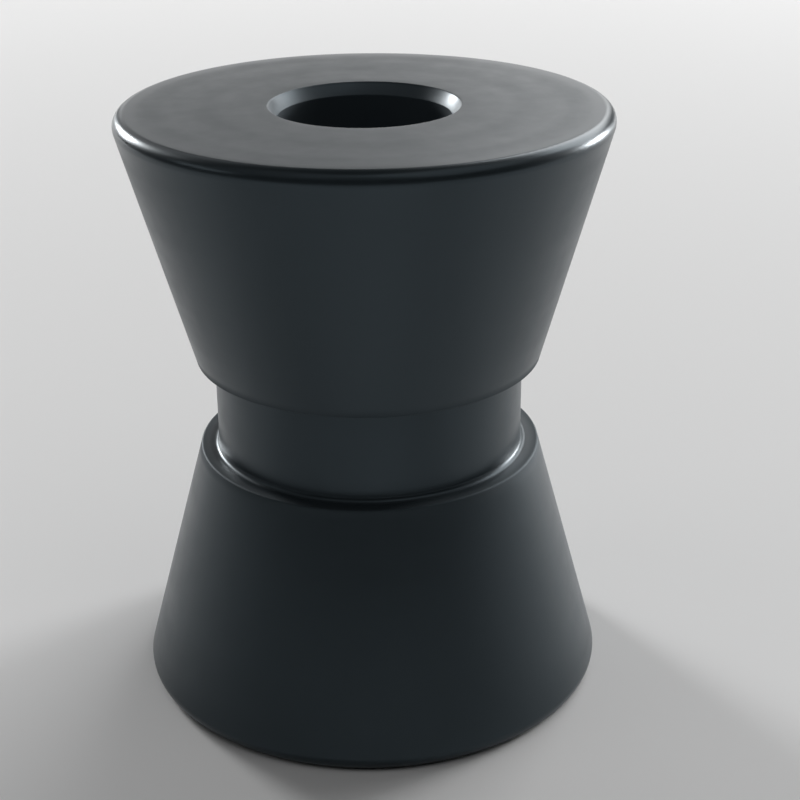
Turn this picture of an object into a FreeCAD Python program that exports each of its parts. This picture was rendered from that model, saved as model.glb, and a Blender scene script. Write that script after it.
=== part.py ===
import FreeCAD, Part
import math
import os

import Sketcher

# An anchor roller: one bar of black plastic turned to an hourglass.
# Two equal cones meet at a narrow cylindrical waist, where the chain runs.
# A plain bore goes through from end to end and takes the pin it turns on.
# The bore's axis is Z, and the origin is on it, halfway along the roller.
# All lengths are in millimetres.

NODE = "roller"

doc = FreeCAD.newDocument("anchor_roller")
sizes = doc.addObject("Spreadsheet::Sheet", "sizes")

# Every size that can be set by itself: its name, its value and what it measures.
SIZE_ROWS = [
    ("outer_dia", 80.0, "widest diameter, over the rounding of each rim"),
    ("roller_length", 100.0, "from end face to end face"),
    ("waist_dia", 52.0, "cylinder between the two cones"),
    ("waist_width", 16.0, "from ledge to ledge"),
    ("ledge_step", 3.0, "how far a cone's narrow end stands out from the waist"),
    ("rim_radius", 2.0, "rounding between an end face and its cone"),
    ("shoulder_bevel", 0.8, "broken edge between a cone's narrow end and its ledge"),
    ("corner_bevel", 0.8, "slope that the tool leaves where the waist meets a ledge"),
    ("bore_dia", 28.0, "straight wall of the bore"),
    ("flare_width", 1.5, "how far a mouth of the bore opens, on the radius"),
    ("flare_depth", 1.9, "how deep a flared mouth goes"),
]
SIZE = {}
for row, (alias, value, meaning) in enumerate(SIZE_ROWS, start=1):
    sizes.set("A%d" % row, alias)
    sizes.set("B%d" % row, str(value))
    sizes.set("C%d" % row, meaning)
    sizes.setAlias("B%d" % row, alias)
    SIZE[alias] = value
doc.recompute()

body = doc.addObject("PartDesign::Body", NODE)
body.Label = NODE

FULL_TURN = 360.0

# The ends of a line or arc, as a constraint counts them, and the body's origin.
START, END, CENTRE = 1, 2, 3
ORIGIN = (-1, START)


def origin_feature(role):
    """The body's own plane or axis that has this role."""
    return next(item for item in body.Origin.OriginFeatures if item.Role == role)


def upright_sketch(name):
    """An empty sketch on the XZ plane: x is the radius, y runs along the bore."""
    sketch = body.newObject("Sketcher::SketchObject", name)
    sketch.AttachmentSupport = [(origin_feature("XZ_Plane"), "")]
    sketch.MapMode = "FlatFace"
    return sketch


def hold(sketch, kind, *where):
    """Add one constraint and return its number."""
    return sketch.addConstraint(Sketcher.Constraint(kind, *where))


def chain(sketch, lines):
    """Make each line start where the one before it ends."""
    for before, after in zip(lines, lines[1:]):
        hold(sketch, "Coincident", before, END, after, START)


def dimension(sketch, name, formula, kind, *where):
    """Add a constraint with a size, and tie the size to the sheet."""
    number = hold(sketch, kind, *where)
    sketch.renameConstraint(number, name)
    sketch.setExpression("Constraints." + name, formula)


def across(sketch, name, formula, start, end, value):
    """Set how much further out one point lies than another, on the radius."""
    dimension(sketch, name, formula, "DistanceX", *start, *end, value)


def along(sketch, name, formula, start, end, value):
    """Set how much further up one point lies than another, along the bore."""
    dimension(sketch, name, formula, "DistanceY", *start, *end, value)


def point(x, y):
    return FreeCAD.Vector(x, y, 0)


def path(*points):
    """Straight lines, each from one point to the next."""
    return [Part.LineSegment(start, end) for start, end in zip(points, points[1:])]


def arc(centre, radius, start_angle, end_angle):
    """An arc that runs anticlockwise, with its angles in radians."""
    circle = Part.Circle(centre, FreeCAD.Vector(0, 0, 1), radius)
    return Part.ArcOfCircle(circle, start_angle, end_angle)


# The outside, as half of one cutter path
# The sketch goes from the middle of the waist out along the ledge, up the cone,
# round the rim and in across the end face. It is first drawn near its true
# shape, and the constraints then bring it there and hold it.

waist_r = SIZE["waist_dia"] / 2
ledge_z = SIZE["waist_width"] / 2
small_r = waist_r + SIZE["ledge_step"]
corner = SIZE["corner_bevel"]
shoulder = SIZE["shoulder_bevel"]
top_z = SIZE["roller_length"] / 2
outer_r = SIZE["outer_dia"] / 2
rim = SIZE["rim_radius"]
rim_centre = point(outer_r - rim, top_z - rim)
slope = math.atan2(outer_r - small_r, rim_centre.y - ledge_z)
rim_start = rim_centre + point(rim * math.cos(slope), -rim * math.sin(slope))

outline = upright_sketch("half_outline")
MIDDLE, WAIST, CORNER, LEDGE, SHOULDER, CONE, RIM, END_FACE, AXIS, SHARP = range(10)
waist_to_rim = path(
    point(0, 0),
    point(waist_r, 0),
    point(waist_r, ledge_z - corner),
    point(waist_r + corner, ledge_z),
    point(small_r - shoulder, ledge_z),
    point(small_r, ledge_z + shoulder),
    rim_start,
)
rounding = arc(rim_centre, rim, -slope, math.pi / 2)
rim_to_axis = path(point(rim_centre.x, top_z), point(0, top_z), point(0, 0))
outline.addGeometry(waist_to_rim + [rounding] + rim_to_axis, False)
outline.addGeometry(Part.Point(point(small_r, ledge_z)), True)

hold(outline, "Coincident", MIDDLE, START, *ORIGIN)
chain(outline, [MIDDLE, WAIST, CORNER, LEDGE, SHOULDER, CONE])
chain(outline, [END_FACE, AXIS])
hold(outline, "Coincident", AXIS, END, *ORIGIN)
hold(outline, "Horizontal", MIDDLE)
hold(outline, "Vertical", WAIST)
hold(outline, "Horizontal", LEDGE)
hold(outline, "Horizontal", END_FACE)
hold(outline, "Vertical", AXIS)

# The rim's rounding runs smoothly into the cone and into the end face.
hold(outline, "Tangent", CONE, END, RIM, START)
hold(outline, "Tangent", RIM, END, END_FACE, START)

# The cone aims at the sharp corner that the bevel of its shoulder takes off.
hold(outline, "PointOnObject", SHARP, START, CONE)
hold(outline, "PointOnObject", SHARP, START, LEDGE)

across(outline, "waist_r", "sizes.waist_dia / 2", ORIGIN, (WAIST, START), waist_r)
along(outline, "ledge_z", "sizes.waist_width / 2", ORIGIN, (LEDGE, START), ledge_z)
across(outline, "ledge_step", "sizes.ledge_step", (WAIST, START), (SHARP, START), small_r - waist_r)
across(outline, "corner_out", "sizes.corner_bevel", (CORNER, START), (CORNER, END), corner)
along(outline, "corner_up", "sizes.corner_bevel", (CORNER, START), (CORNER, END), corner)
across(outline, "shoulder_in", "sizes.shoulder_bevel", (LEDGE, END), (SHARP, START), shoulder)
along(outline, "shoulder_up", "sizes.shoulder_bevel", (SHARP, START), (CONE, START), shoulder)
rim_reach = "sizes.outer_dia / 2 - sizes.rim_radius"
across(outline, "rim_centre_r", rim_reach, ORIGIN, (RIM, CENTRE), rim_centre.x)
dimension(outline, "rim_radius", "sizes.rim_radius", "Radius", RIM, rim)
along(outline, "top_z", "sizes.roller_length / 2", ORIGIN, (END_FACE, START), top_z)
doc.recompute()

turned = body.newObject("PartDesign::Revolution", "turned_half")
turned.Profile = outline
turned.ReferenceAxis = (outline, ["V_Axis"])
turned.Angle = FULL_TURN
body.Tip = turned
doc.recompute()

# The bore and its flared mouth, as half of one boring cut
# It goes straight up from the middle of the roller and opens out at the end
# face, so that the pin goes in without catching.

bore_r = SIZE["bore_dia"] / 2
flare_width = SIZE["flare_width"]
flare_depth = SIZE["flare_depth"]

bore_outline = upright_sketch("half_bore")
FLOOR, WALL, FLARE, MOUTH, BORE_AXIS = range(5)
bore_path = path(
    point(0, 0),
    point(bore_r, 0),
    point(bore_r, top_z - flare_depth),
    point(bore_r + flare_width, top_z),
    point(0, top_z),
    point(0, 0),
)
bore_outline.addGeometry(bore_path, False)

hold(bore_outline, "Coincident", FLOOR, START, *ORIGIN)
chain(bore_outline, [FLOOR, WALL, FLARE, MOUTH, BORE_AXIS])
hold(bore_outline, "Coincident", BORE_AXIS, END, *ORIGIN)
hold(bore_outline, "Horizontal", FLOOR)
hold(bore_outline, "Vertical", WALL)
hold(bore_outline, "Horizontal", MOUTH)
hold(bore_outline, "Vertical", BORE_AXIS)

across(bore_outline, "bore_r", "sizes.bore_dia / 2", ORIGIN, (WALL, START), bore_r)
across(bore_outline, "flare_width", "sizes.flare_width", (FLARE, START), (FLARE, END), flare_width)
along(bore_outline, "flare_depth", "sizes.flare_depth", (FLARE, START), (FLARE, END), flare_depth)
along(bore_outline, "top_z", "sizes.roller_length / 2", ORIGIN, (MOUTH, START), top_z)
doc.recompute()

bored = body.newObject("PartDesign::Groove", "bored_half")
bored.Profile = bore_outline
bored.ReferenceAxis = (bore_outline, ["V_Axis"])
bored.Angle = FULL_TURN
body.Tip = bored
doc.recompute()

# The same half again below the waist makes the whole roller.
whole = body.newObject("PartDesign::Mirrored", "whole_roller")
whole.Originals = [turned, bored]
whole.MirrorPlane = (origin_feature("XY_Plane"), [""])
body.Tip = whole
doc.recompute()

# Nothing is written unless every step is sound and the bore took material away.
for item in doc.Objects:
    if "Invalid" in item.State or "Error" in item.State:
        raise RuntimeError("%s did not recompute" % item.Name)
for sketch in (outline, bore_outline):
    if not sketch.FullyConstrained:
        raise RuntimeError("%s is not fully held by its sizes" % sketch.Name)
for feature in (turned, bored, whole):
    if feature.Shape.isNull() or not feature.Shape.isValid():
        raise RuntimeError("%s has no sound shape" % feature.Name)
if bored.Shape.Volume >= turned.Shape.Volume:
    raise RuntimeError("the bore took nothing away")

os.makedirs("parts", exist_ok=True)
body.Shape.exportStep(os.path.join("parts", NODE + ".step"))

box = body.Shape.optimalBoundingBox(False, False)
print("volume %.1f cm3" % (body.Shape.Volume / 1000))
print("box %.2f x %.2f x %.2f mm" % (box.XLength, box.YLength, box.ZLength))
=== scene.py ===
# %% [markdown]
# # A roller for an anchor chain, turned from black plastic
#
# The real roller is one piece. A bar of plastic spins in a lathe while a tool follows one
# line, and that line becomes the whole outside: two cones, a narrow waist between them, and
# rounded rims. A boring tool then makes the hole for the pin.
#
# This lesson works the same way. It draws one line, spins it round the axis and gives it the
# satin finish of turned plastic. The roller's solid is loaded first, at its real size.

import math

import bmesh
import bpy
from mathutils import Matrix, Vector


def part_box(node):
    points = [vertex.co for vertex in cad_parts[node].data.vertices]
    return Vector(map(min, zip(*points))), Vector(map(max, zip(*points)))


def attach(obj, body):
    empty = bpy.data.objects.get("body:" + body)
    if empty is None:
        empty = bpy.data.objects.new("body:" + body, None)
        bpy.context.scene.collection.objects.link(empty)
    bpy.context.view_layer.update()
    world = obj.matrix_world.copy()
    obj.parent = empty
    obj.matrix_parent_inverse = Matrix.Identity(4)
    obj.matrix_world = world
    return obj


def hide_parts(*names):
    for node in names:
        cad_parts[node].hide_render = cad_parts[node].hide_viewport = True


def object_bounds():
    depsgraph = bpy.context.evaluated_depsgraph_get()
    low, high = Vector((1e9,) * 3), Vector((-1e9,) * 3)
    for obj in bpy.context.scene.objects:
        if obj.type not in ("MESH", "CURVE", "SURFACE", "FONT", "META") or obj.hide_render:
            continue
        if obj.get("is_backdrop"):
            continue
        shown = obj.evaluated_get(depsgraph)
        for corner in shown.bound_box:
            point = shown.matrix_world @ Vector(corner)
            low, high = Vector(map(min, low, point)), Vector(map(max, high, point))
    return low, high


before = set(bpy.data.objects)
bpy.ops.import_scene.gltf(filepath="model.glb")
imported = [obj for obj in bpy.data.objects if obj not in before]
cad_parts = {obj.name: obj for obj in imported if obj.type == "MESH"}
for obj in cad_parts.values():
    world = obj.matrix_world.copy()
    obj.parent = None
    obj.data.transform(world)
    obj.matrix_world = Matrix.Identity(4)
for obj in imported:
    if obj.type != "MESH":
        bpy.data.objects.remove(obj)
cad_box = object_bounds()
for corner in cad_box:
    print("a corner of the solid's box, in metres: %.4f %.4f %.4f" % tuple(corner))

# %% [markdown]
# ## Read the sizes
#
# The solid's mesh is a stack of circles round the bore. Each circle is one corner of the
# outline, with a height and a radius. The sizes could be typed in again from a drawing, but a
# change of the solid would then not reach this script, so they are read from its circles.
# The upper half is enough, because the lower half is the same.

# %% Circles of the solid
MM = 0.001
SAME = 0.02 * MM


def circles(node):
    """The circles of a turned node above its middle, as (height, radius), lowest first."""
    points = [vertex.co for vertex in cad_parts[node].data.vertices]
    found = {(round(p.z, 6), round(math.hypot(p.x, p.y), 6)) for p in points}
    return sorted(ring for ring in found if ring[0] > SAME)


rings = circles("roller")
print(len(rings), "circles above the middle")

# %% Sizes of the ends and the bore
_, top_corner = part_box("roller")
HALF_LENGTH = top_corner.z
OUTER_R = max(radius for height, radius in rings)
BORE_R = min(radius for height, radius in rings)
FLARE_Z = max(height for height, radius in rings if radius < BORE_R + SAME)

end_face = [radius for height, radius in rings if height > HALF_LENGTH - SAME]
MOUTH_R = min(end_face)
RIM_RADIUS = OUTER_R - max(end_face)
print("bore radius %.2f mm, mouth %.2f mm, rim rounding %.2f mm" % (
    BORE_R / MM, MOUTH_R / MM, RIM_RADIUS / MM))

# %% Sizes of the waist and its ledges
outside = [ring for ring in rings if ring[1] > MOUTH_R + SAME and ring[0] < HALF_LENGTH - SAME]
WAIST_R = min(radius for height, radius in outside)


def flat_width(height):
    """How wide the flat is that lies at this height, or nothing where there is none."""
    radii = [radius for level, radius in outside if abs(level - height) < SAME]
    return max(radii) - min(radii)


LEDGE_Z = max((height for height, radius in outside), key=flat_width)
print("waist radius %.2f mm, ledge at %.2f mm" % (WAIST_R / MM, LEDGE_Z / MM))

# %% [markdown]
# ## Work out the cone
#
# The cone starts just above the ledge and runs up until it touches the rim's rounding. How
# far it leans outwards follows from those two, as it does when a ruler is laid against both.

# %% Lean of the cone
foot_z, foot_r = next(ring for ring in outside if ring[0] > LEDGE_Z + SAME)
foot = Vector((foot_r, foot_z))
rim_centre = Vector((OUTER_R - RIM_RADIUS, HALF_LENGTH - RIM_RADIUS))
reach = rim_centre - foot
LEAN = math.atan2(reach.x, reach.y) + math.asin(RIM_RADIUS / reach.length)

# The cone's radius at the ledge and at the end face, as if both corners were still sharp.
NARROW_R = foot_r - (foot_z - LEDGE_Z) * math.tan(LEAN)
WIDE_R = foot_r + (HALF_LENGTH - foot_z) * math.tan(LEAN)
print("the cone leans %.2f degrees, from %.2f to %.2f mm" % (
    math.degrees(LEAN), NARROW_R / MM, WIDE_R / MM))

# %% [markdown]
# ## List the corners of the outline
#
# The line starts on the bore's wall at mid-length. It goes up, opens out through the flare,
# crosses the end face, turns round the rim, comes down the cone, steps in along the ledge and
# ends on the waist. Each corner has a rounding of its own. The rim's is read from the solid.
# The others are finer and are chosen here: a lathe tool has a round nose, so no corner that
# it leaves is quite sharp. They catch the thin lines of light round the foot of the waist.

# %% Corners and their roundings
MOUTH_ROUND = 0.3 * MM
SHOULDER_ROUND = 0.4 * MM
CORNER_ROUND = 0.9 * MM

start = Vector((BORE_R, 0.0))
corners = [
    (Vector((BORE_R, FLARE_Z)), MOUTH_ROUND),
    (Vector((MOUTH_R, HALF_LENGTH)), MOUTH_ROUND),
    (Vector((WIDE_R, HALF_LENGTH)), RIM_RADIUS),
    (Vector((NARROW_R, LEDGE_Z)), SHOULDER_ROUND),
    (Vector((WAIST_R, LEDGE_Z)), CORNER_ROUND),
]
end = Vector((WAIST_R, 0.0))
print(len(corners), "corners between the bore's wall and the waist")

# %% [markdown]
# ## Draw the line that the tool follows
#
# A line can be drawn as a curve, or point by point in mesh code. Here it grows from one
# point, as it would by hand: the point is extruded along each straight stretch, and spun
# round the centre of each rounding, so that every rounding is a true arc.
# The first point is a small plane with its four corners merged.

# %% One point to start from
bpy.ops.object.select_all(action="DESELECT")
bpy.ops.mesh.primitive_plane_add(size=MM)
roller = bpy.context.object
roller.name = "turned_roller"
bpy.ops.object.mode_set(mode="EDIT")
bpy.ops.mesh.select_all(action="SELECT")
bpy.ops.mesh.merge(type="CENTER")
bpy.ops.transform.translate(value=(start.x, 0, start.y))
print("points to start from:", len(bmesh.from_edit_mesh(roller.data).verts))

# %% Straight stretches
RING_SPACING = 2.5 * MM


def line_end():
    """Where the end of the line is, as (radius, height)."""
    tip = next(vertex for vertex in bmesh.from_edit_mesh(roller.data).verts if vertex.select)
    return Vector((tip.co.x, tip.co.z))


def draw_line(goal):
    """Extrude the end of the line straight on to a point, in short steps."""
    way = goal - line_end()
    steps = math.ceil(way.length / RING_SPACING)
    move = (way.x / steps, 0, way.y / steps)
    for _ in range(steps):
        bpy.ops.mesh.extrude_region_move(TRANSFORM_OT_translate={"value": move})


# %% Round corners
ARC_STEP = math.radians(4.5)


def draw_corner(corner, after, radius):
    """Draw up to a corner and round it, so that the line then heads for the next one."""
    arrive = (corner - line_end()).normalized()
    leave = (after - corner).normalized()
    turn = arrive.angle_signed(leave)
    draw_line(corner - arrive * radius * math.tan(abs(turn) / 2))
    aside = Vector((arrive.y, -arrive.x)) * math.copysign(radius, turn)
    centre = line_end() + aside
    bpy.ops.mesh.spin(
        steps=math.ceil(abs(turn) / ARC_STEP),
        angle=turn,
        center=(centre.x, 0, centre.y),
        axis=(0, -1, 0),
    )


# %% The whole line
goals = [corner for corner, radius in corners[1:]] + [end]
for (corner, radius), after in zip(corners, goals):
    draw_corner(corner, after, radius)
draw_line(end)
bpy.ops.object.mode_set(mode="OBJECT")
print("the line has", len(roller.data.vertices), "points")

# %% [markdown]
# ## Spin the line into the roller
#
# The line is half of the outline, so a Mirror modifier adds the lower half and joins the two
# at mid-length. The closed outline is then spun once round the bore's axis. Enough steps are
# taken that the rims look round from close by. The last step lands on the first, and the
# spin joins them. Points that still lie on each other would be merged next, and the normals
# are turned outwards.

# %% Mirror the half outline
NEAR = 0.002 * MM
mirror = roller.modifiers.new("lower half", "MIRROR")
mirror.use_axis = (False, False, True)
mirror.merge_threshold = NEAR
bpy.ops.object.modifier_apply(modifier=mirror.name)
print("the closed outline has", len(roller.data.vertices), "points")

# %% Spin it round the bore
SPIN_STEPS = 192
bpy.ops.object.mode_set(mode="EDIT")
bpy.ops.mesh.select_all(action="SELECT")
bpy.ops.mesh.spin(steps=SPIN_STEPS, angle=math.tau, center=(0, 0, 0), axis=(0, 0, 1))
bpy.ops.mesh.select_all(action="SELECT")
bpy.ops.mesh.remove_doubles(threshold=NEAR)
bpy.ops.mesh.normals_make_consistent(inside=False)
print("the roller has", len(bmesh.from_edit_mesh(roller.data).verts), "points")

# %% Check that it is closed
bpy.ops.mesh.select_all(action="DESELECT")
bpy.ops.mesh.select_non_manifold()
open_edges = sum(edge.select for edge in bmesh.from_edit_mesh(roller.data).edges)
bpy.ops.object.mode_set(mode="OBJECT")
bpy.ops.object.shade_smooth()
print("faces:", len(roller.data.polygons), "open edges:", open_edges)

# %% [markdown]
# ## The finish: satin black plastic, as turned
#
# The roller isn't painted. The plastic is black all through, and its surface is what the tool
# left: fine circles round the axis that soften the gloss. An image could hold them, but it
# would show its pixels and its seam. Noise that is given only the distance from the axis and
# the height has one value all the way round, so the same noise draws circles on the end
# faces, the cones, the waist and the bore.
#
# The black has a little blue in it, and so has the light that it mirrors from straight ahead,
# while the edges and the rims shine white. A tint on the shader's reflection gives just that,
# because it fades out where light grazes the surface.

# %% A helper for nodes
def add_node(kind, **settings):
    """Add a node to the plastic, and set its sockets or its own properties by name."""
    node = plastic.node_tree.nodes.new(kind)
    for name, value in settings.items():
        label = name.replace("_", " ")
        if label in node.inputs:
            node.inputs[label].default_value = value
        else:
            setattr(node, name, value)
    return node


# %% Start the plastic
PLASTIC_IOR = 1.5
SPECULAR_LEVEL = 0.6
SPECULAR_TINT = (0.66, 0.84, 0.96, 1.0)
plastic = bpy.data.materials.new("satin_black_plastic")
plastic.use_nodes = True
join = plastic.node_tree.links.new
shader = plastic.node_tree.nodes["Principled BSDF"]
shader.inputs["IOR"].default_value = PLASTIC_IOR
shader.inputs["Specular IOR Level"].default_value = SPECULAR_LEVEL
shader.inputs["Specular Tint"].default_value = SPECULAR_TINT
print("%s has an index of refraction of %.1f" % (plastic.name, PLASTIC_IOR))

# %% Distance from the axis, and height
place = add_node("ShaderNodeTexCoord")
split = add_node("ShaderNodeSeparateXYZ")
across = add_node("ShaderNodeVectorMath", operation="MULTIPLY")
across.inputs[1].default_value = (1, 1, 0)
from_axis = add_node("ShaderNodeVectorMath", operation="LENGTH")
turned = add_node("ShaderNodeCombineXYZ")
join(place.outputs["Object"], split.inputs["Vector"])
join(place.outputs["Object"], across.inputs[0])
join(across.outputs["Vector"], from_axis.inputs[0])
join(from_axis.outputs["Value"], turned.inputs["X"])
join(split.outputs["Z"], turned.inputs["Z"])
print("places on the surface worked out with", len(plastic.node_tree.links), "links")

# %% Noise at three scales
TOOL_MARK = 0.4 * MM
TOOL_BAND = 7.0 * MM
MOTTLE = 4.0 * MM
marks = add_node("ShaderNodeTexNoise", Scale=1 / TOOL_MARK, Detail=2.0)
bands = add_node("ShaderNodeTexNoise", Scale=1 / TOOL_BAND, Detail=3.0)
mottle = add_node("ShaderNodeTexNoise", Scale=1 / MOTTLE, Detail=3.0)
join(turned.outputs["Vector"], marks.inputs["Vector"])
join(turned.outputs["Vector"], bands.inputs["Vector"])
join(place.outputs["Object"], mottle.inputs["Vector"])
print("marks %.1f mm apart, mottle %.1f mm, bands %.1f mm" % (
    TOOL_MARK / MM, MOTTLE / MM, TOOL_BAND / MM))

# %% [markdown]
# ### Gloss, colour and relief
#
# The broad bands and the mottle together make the gloss and the black vary a little, as they
# do where the tool cut more or less cleanly. Hands and rope rub the rims smooth, so they are
# glossier, the narrow shoulders are scuffed dull, and the bored wall is duller than the
# outside. The bore and its flare are also painted a paler black, as painted light that lifts
# the dark inside of the bore. A wear map could be painted, but the distance from each
# rounding's own centre line finds those edges exactly, on both halves at once.

# %% Bands and mottle together
MOTTLE_SHARE = 0.4
uneven = add_node("ShaderNodeMix", data_type="FLOAT", Factor=MOTTLE_SHARE)
join(bands.outputs["Fac"], uneven.inputs["A"])
join(mottle.outputs["Fac"], uneven.inputs["B"])
print("finish made of", len(plastic.node_tree.nodes), "nodes so far")

# %% Heights of both halves as one
up_or_down = add_node("ShaderNodeMath", operation="ABSOLUTE")
folded = add_node("ShaderNodeCombineXYZ")
join(split.outputs["Z"], up_or_down.inputs[0])
join(from_axis.outputs["Value"], folded.inputs["X"])
join(up_or_down.outputs["Value"], folded.inputs["Z"])
print("both halves folded into one, with", len(plastic.node_tree.nodes), "nodes so far")

# %% Masks that fade out
WEAR_FADE = 1.0 * MM


def fade_out(distance, edge, width):
    """A node that is 1 up to an edge and falls to 0 over the width beyond it."""
    fade = add_node("ShaderNodeMapRange", From_Min=edge, From_Max=edge + width)
    fade.inputs["To Min"].default_value = 1.0
    fade.inputs["To Max"].default_value = 0.0
    join(distance, fade.inputs["Value"])
    return fade


def near_rounding(centre, rounding):
    """A node that is 1 on a rounding and falls to 0 a little way from it."""
    away = add_node("ShaderNodeVectorMath", operation="DISTANCE")
    away.inputs[1].default_value = (centre.x, 0, centre.y)
    join(folded.outputs["Vector"], away.inputs[0])
    return fade_out(away.outputs["Value"], rounding, WEAR_FADE)


# %% Find the rims, the shoulders and the bore
MOUTH_FADE = 0.3 * MM
shoulder_in = SHOULDER_ROUND * math.tan((math.pi / 2 - LEAN) / 2)
shoulder_centre = Vector((NARROW_R - shoulder_in, LEDGE_Z + SHOULDER_ROUND))
on_rim = near_rounding(rim_centre, RIM_RADIUS)
on_shoulder = near_rounding(shoulder_centre, SHOULDER_ROUND)
on_bore_wall = fade_out(from_axis.outputs["Value"], BORE_R, WEAR_FADE)
# The mask inside the mouth carries the painted light of the bore and its flare.
in_mouth = fade_out(from_axis.outputs["Value"], MOUTH_R - MOUTH_FADE, MOUTH_FADE)
print("shoulder rounding about radius %.2f mm, height %.2f mm" % (
    shoulder_centre.x / MM, shoulder_centre.y / MM))

# %% [markdown]
# The roughness is kept at 0.28 or more, even on the glossy rims. Below about 0.275 the
# render's noise filter treats a surface as a mirror, and where the roughness crosses that
# line it leaves patches with sharp edges.

# %% Gloss
NOISE_RANGE = (0.3, 0.7)
SATIN = (0.28, 0.39)
RIM_ROUGHNESS = 0.28
SHOULDER_ROUGHNESS = 0.6
BORE_ROUGHNESS = 0.5
satin = add_node("ShaderNodeMapRange", From_Min=NOISE_RANGE[0], From_Max=NOISE_RANGE[1])
satin.inputs["To Min"].default_value = SATIN[0]
satin.inputs["To Max"].default_value = SATIN[1]
join(uneven.outputs["Result"], satin.inputs["Value"])

gloss = satin
places = [
    (on_rim, RIM_ROUGHNESS),
    (on_shoulder, SHOULDER_ROUGHNESS),
    (on_bore_wall, BORE_ROUGHNESS),
]
for there, roughness in places:
    blend = add_node("ShaderNodeMix", data_type="FLOAT")
    blend.inputs["B"].default_value = roughness
    join(there.outputs["Result"], blend.inputs["Factor"])
    join(gloss.outputs["Result"], blend.inputs["A"])
    gloss = blend
join(gloss.outputs["Result"], shader.inputs["Roughness"])
print("places with a gloss of their own:", len(places))

# %% Black with a little blue
DEEP_BLACK = (0.0205, 0.0265, 0.0305, 1.0)
PALE_BLACK = (0.0254, 0.0328, 0.0378, 1.0)
# The bore and its flare get a paler black. This is painted light: it lifts the dark inside the
# bore.
PAINTED_BORE_LIGHT = (0.05, 0.061, 0.069, 1.0)
tint = add_node("ShaderNodeMix", data_type="RGBA")
tint.inputs[6].default_value = DEEP_BLACK
tint.inputs[7].default_value = PALE_BLACK
join(uneven.outputs["Result"], tint.inputs[0])
painted_bore_light = add_node("ShaderNodeMix", data_type="RGBA")
painted_bore_light.inputs[7].default_value = PAINTED_BORE_LIGHT
join(in_mouth.outputs["Result"], painted_bore_light.inputs[0])
join(tint.outputs[2], painted_bore_light.inputs[6])
join(painted_bore_light.outputs[2], shader.inputs["Base Color"])
print("the bored wall is %.1f times as pale as the outside" % (PAINTED_BORE_LIGHT[1] / PALE_BLACK[1]))

# %% Tool marks in relief
MARK_DEPTH = 0.004 * MM
relief = add_node("ShaderNodeBump", Strength=1.0, Distance=MARK_DEPTH)
join(marks.outputs["Fac"], relief.inputs["Height"])
join(relief.outputs["Normal"], shader.inputs["Normal"])
print("the finish has", len(plastic.node_tree.nodes), "nodes")

# %% Dress the roller
roller.data.materials.clear()
roller.data.materials.append(plastic)
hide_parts("roller")
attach(roller, "root")
print(roller.name, "wears", roller.data.materials[0].name)

# %% [markdown]
# ## The studio
#
# The roller stands on a plain pale floor. Black plastic shows little of its own colour, and
# most of what is seen on it is the lights' reflection, so where the lights stand and how
# large they are matters more than how strong they are. Lights close by would each draw a hard
# shape, so all of them stand well back.
#
# Soft boxes low and behind, at each side, brighten the flanks towards their edges and draw
# the bright spot at each end of the rim. Panels behind light the end face evenly. Panels
# above keep the front from going flat black. They are so large that the rim shows no line of
# them.

# %% The floor
FLOOR_SIZE = 5.0
FLOOR_COLOR = (0.8, 0.8, 0.8, 1.0)
FLOOR_ROUGHNESS = 0.8
bpy.ops.object.select_all(action="DESELECT")
bpy.ops.mesh.primitive_plane_add(size=FLOOR_SIZE, location=(0, 0, -HALF_LENGTH))
floor = bpy.context.object
floor.name = "floor"
paper = bpy.data.materials.new("pale_floor")
paper.use_nodes = True
paper_shader = paper.node_tree.nodes["Principled BSDF"]
paper_shader.inputs["Base Color"].default_value = FLOOR_COLOR
paper_shader.inputs["Roughness"].default_value = FLOOR_ROUGHNESS
floor.data.materials.append(paper)
floor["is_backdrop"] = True
print("the floor lies at %.1f mm" % (-HALF_LENGTH / MM))

# %% A helper for soft boxes
BOX_DISTANCE = 2.5
SOFT_BOX = (0.7, 0.6)
SMALL_BOX = (0.4, 0.4)
WIDE_BOX = (1.2, 0.6)
LONG_BOX = (1.8, 0.6)
BACK_PANEL = (2.0, 1.2)
UPPER_PANEL = (2.0, 2.0)


def soft_box(name, azimuth, elevation, watts, size=SOFT_BOX):
    """A soft box aimed at the roller. Azimuth 0 is the camera's side, and +90 is its right."""
    around = math.radians(azimuth)
    up = math.radians(elevation)
    level = math.cos(up)
    towards = Vector((math.sin(around) * level, -math.cos(around) * level, math.sin(up)))
    bpy.ops.object.light_add(type="AREA", location=towards * BOX_DISTANCE)
    lamp = bpy.context.object
    lamp.name = name
    lamp.rotation_euler = towards.to_track_quat("Z", "Y").to_euler()
    lamp.data.shape = "RECTANGLE"
    lamp.data.size = size[0]
    lamp.data.size_y = size[1]
    lamp.data.energy = watts
    lamp.visible_camera = False


# %% Soft boxes and panels
soft_box("left_box", azimuth=-140, elevation=15, watts=20)
soft_box("left_small_box", azimuth=-142, elevation=18, watts=17, size=SMALL_BOX)
soft_box("right_low_box", azimuth=125, elevation=8, watts=43)
soft_box("left_back_panel", azimuth=-140, elevation=32, watts=3.5, size=BACK_PANEL)
soft_box("right_back_panel", azimuth=140, elevation=32, watts=32, size=BACK_PANEL)
soft_box("back_right_box", azimuth=168, elevation=22, watts=1.3)
soft_box("back_low_box", azimuth=178, elevation=9, watts=5.0, size=LONG_BOX)
soft_box("left_side_box", azimuth=-80, elevation=25, watts=2.1, size=WIDE_BOX)
soft_box("left_upper_panel", azimuth=-60, elevation=60, watts=2.2, size=UPPER_PANEL)
soft_box("front_upper_panel", azimuth=0, elevation=60, watts=1.7, size=UPPER_PANEL)
soft_box("right_upper_panel", azimuth=60, elevation=60, watts=6.0, size=UPPER_PANEL)
print("lights:", len(bpy.data.lights))

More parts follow.
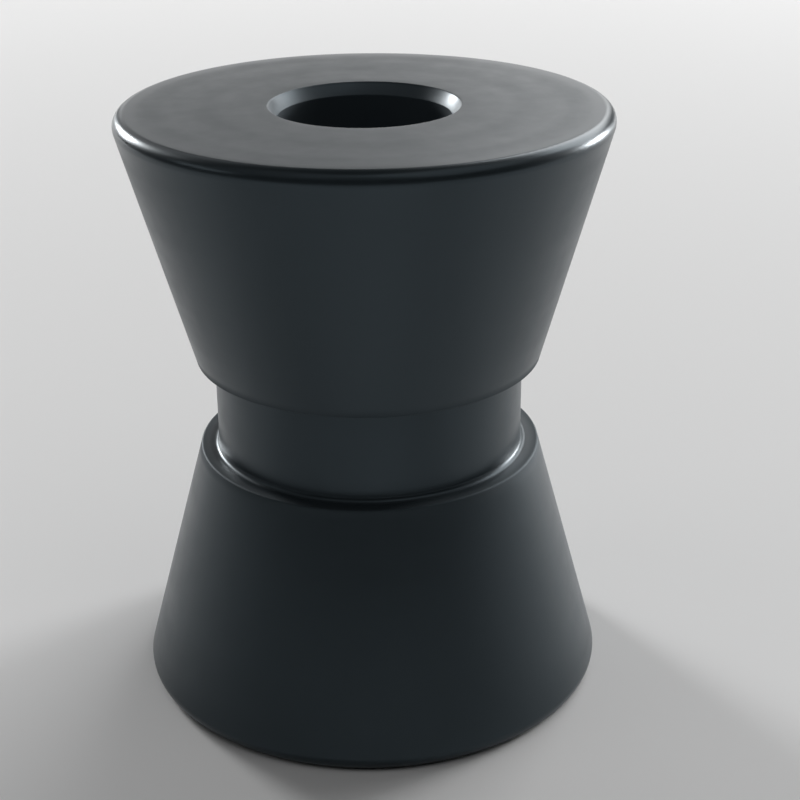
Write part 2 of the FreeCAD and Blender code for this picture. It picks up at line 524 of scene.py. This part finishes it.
# %% [markdown]
# ### The room
#
# A bright room would turn the black grey, so the roller gets almost no light from it. Seen
# from the side, though, a dark room would stand behind the floor as a black wall. The Light
# Path node tells what the camera sees from what the roller sees, so the camera gets a pale
# room and the roller a dark one.

# %% Light from the room
ROOM_COLOR = (0.95, 0.98, 1.0, 1.0)
ROOM_STRENGTH = 0.005
HORIZON_STRENGTH = 0.42
room = bpy.data.worlds.new("room")
room.use_nodes = True
backdrop = room.node_tree.nodes["Background"]
backdrop.inputs["Color"].default_value = ROOM_COLOR
rays = room.node_tree.nodes.new("ShaderNodeLightPath")
strength = room.node_tree.nodes.new("ShaderNodeMix")
strength.inputs["A"].default_value = ROOM_STRENGTH
strength.inputs["B"].default_value = HORIZON_STRENGTH
room.node_tree.links.new(rays.outputs["Is Camera Ray"], strength.inputs["Factor"])
room.node_tree.links.new(strength.outputs["Result"], backdrop.inputs["Strength"])
bpy.context.scene.world = room
bpy.context.scene.view_settings.view_transform = "Standard"
print("strength of the room: %.3f for the roller, %.2f for the camera" % (
    ROOM_STRENGTH, HORIZON_STRENGTH))

# %% [markdown]
# ## The camera
#
# The photograph looks down on the roller from close by. Its place and angles were worked out
# from the roller's own edges in the picture, with the sizes above.

# %% Place the camera
CAMERA_BACK = 0.2580
CAMERA_UP = 0.1121
YAW = math.radians(1.17)
PITCH = math.radians(23.81)
ROLL = math.radians(0.45)
IMAGE_PIXELS = 800
FOCAL_PIXELS = 1637.6
SENSOR_WIDTH = 36.0
NEAREST_SEEN = 0.01

bpy.ops.object.camera_add()
camera = bpy.context.object
camera.name = "photo_camera"
aim = Matrix.Rotation(-YAW, 4, "Z") @ Matrix.Rotation(math.pi / 2 - PITCH, 4, "X")
aim = aim @ Matrix.Rotation(-ROLL, 4, "Z")
camera.matrix_world = Matrix.Translation((0, -CAMERA_BACK, CAMERA_UP)) @ aim
camera.data.sensor_width = SENSOR_WIDTH
camera.data.lens = SENSOR_WIDTH * FOCAL_PIXELS / IMAGE_PIXELS
camera.data.clip_start = NEAREST_SEEN
bpy.context.scene.camera = camera
print("lens %.1f mm" % camera.data.lens)

# %% [markdown]
# ## Finish
#
# The dressed roller's box is set beside the solid's, and how far they differ is printed.
# The dressed roller has to stay inside the solid's box.

# %% Both boxes, and how far they differ
seen_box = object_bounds()
boxes = {"cad": [list(corner) for corner in cad_box], "seen": [list(corner) for corner in seen_box]}
pairs = zip(boxes["cad"][0] + boxes["cad"][1], boxes["seen"][0] + boxes["seen"][1])
print("the boxes differ by %.4f mm" % (max(abs(cad - seen) for cad, seen in pairs) / MM))
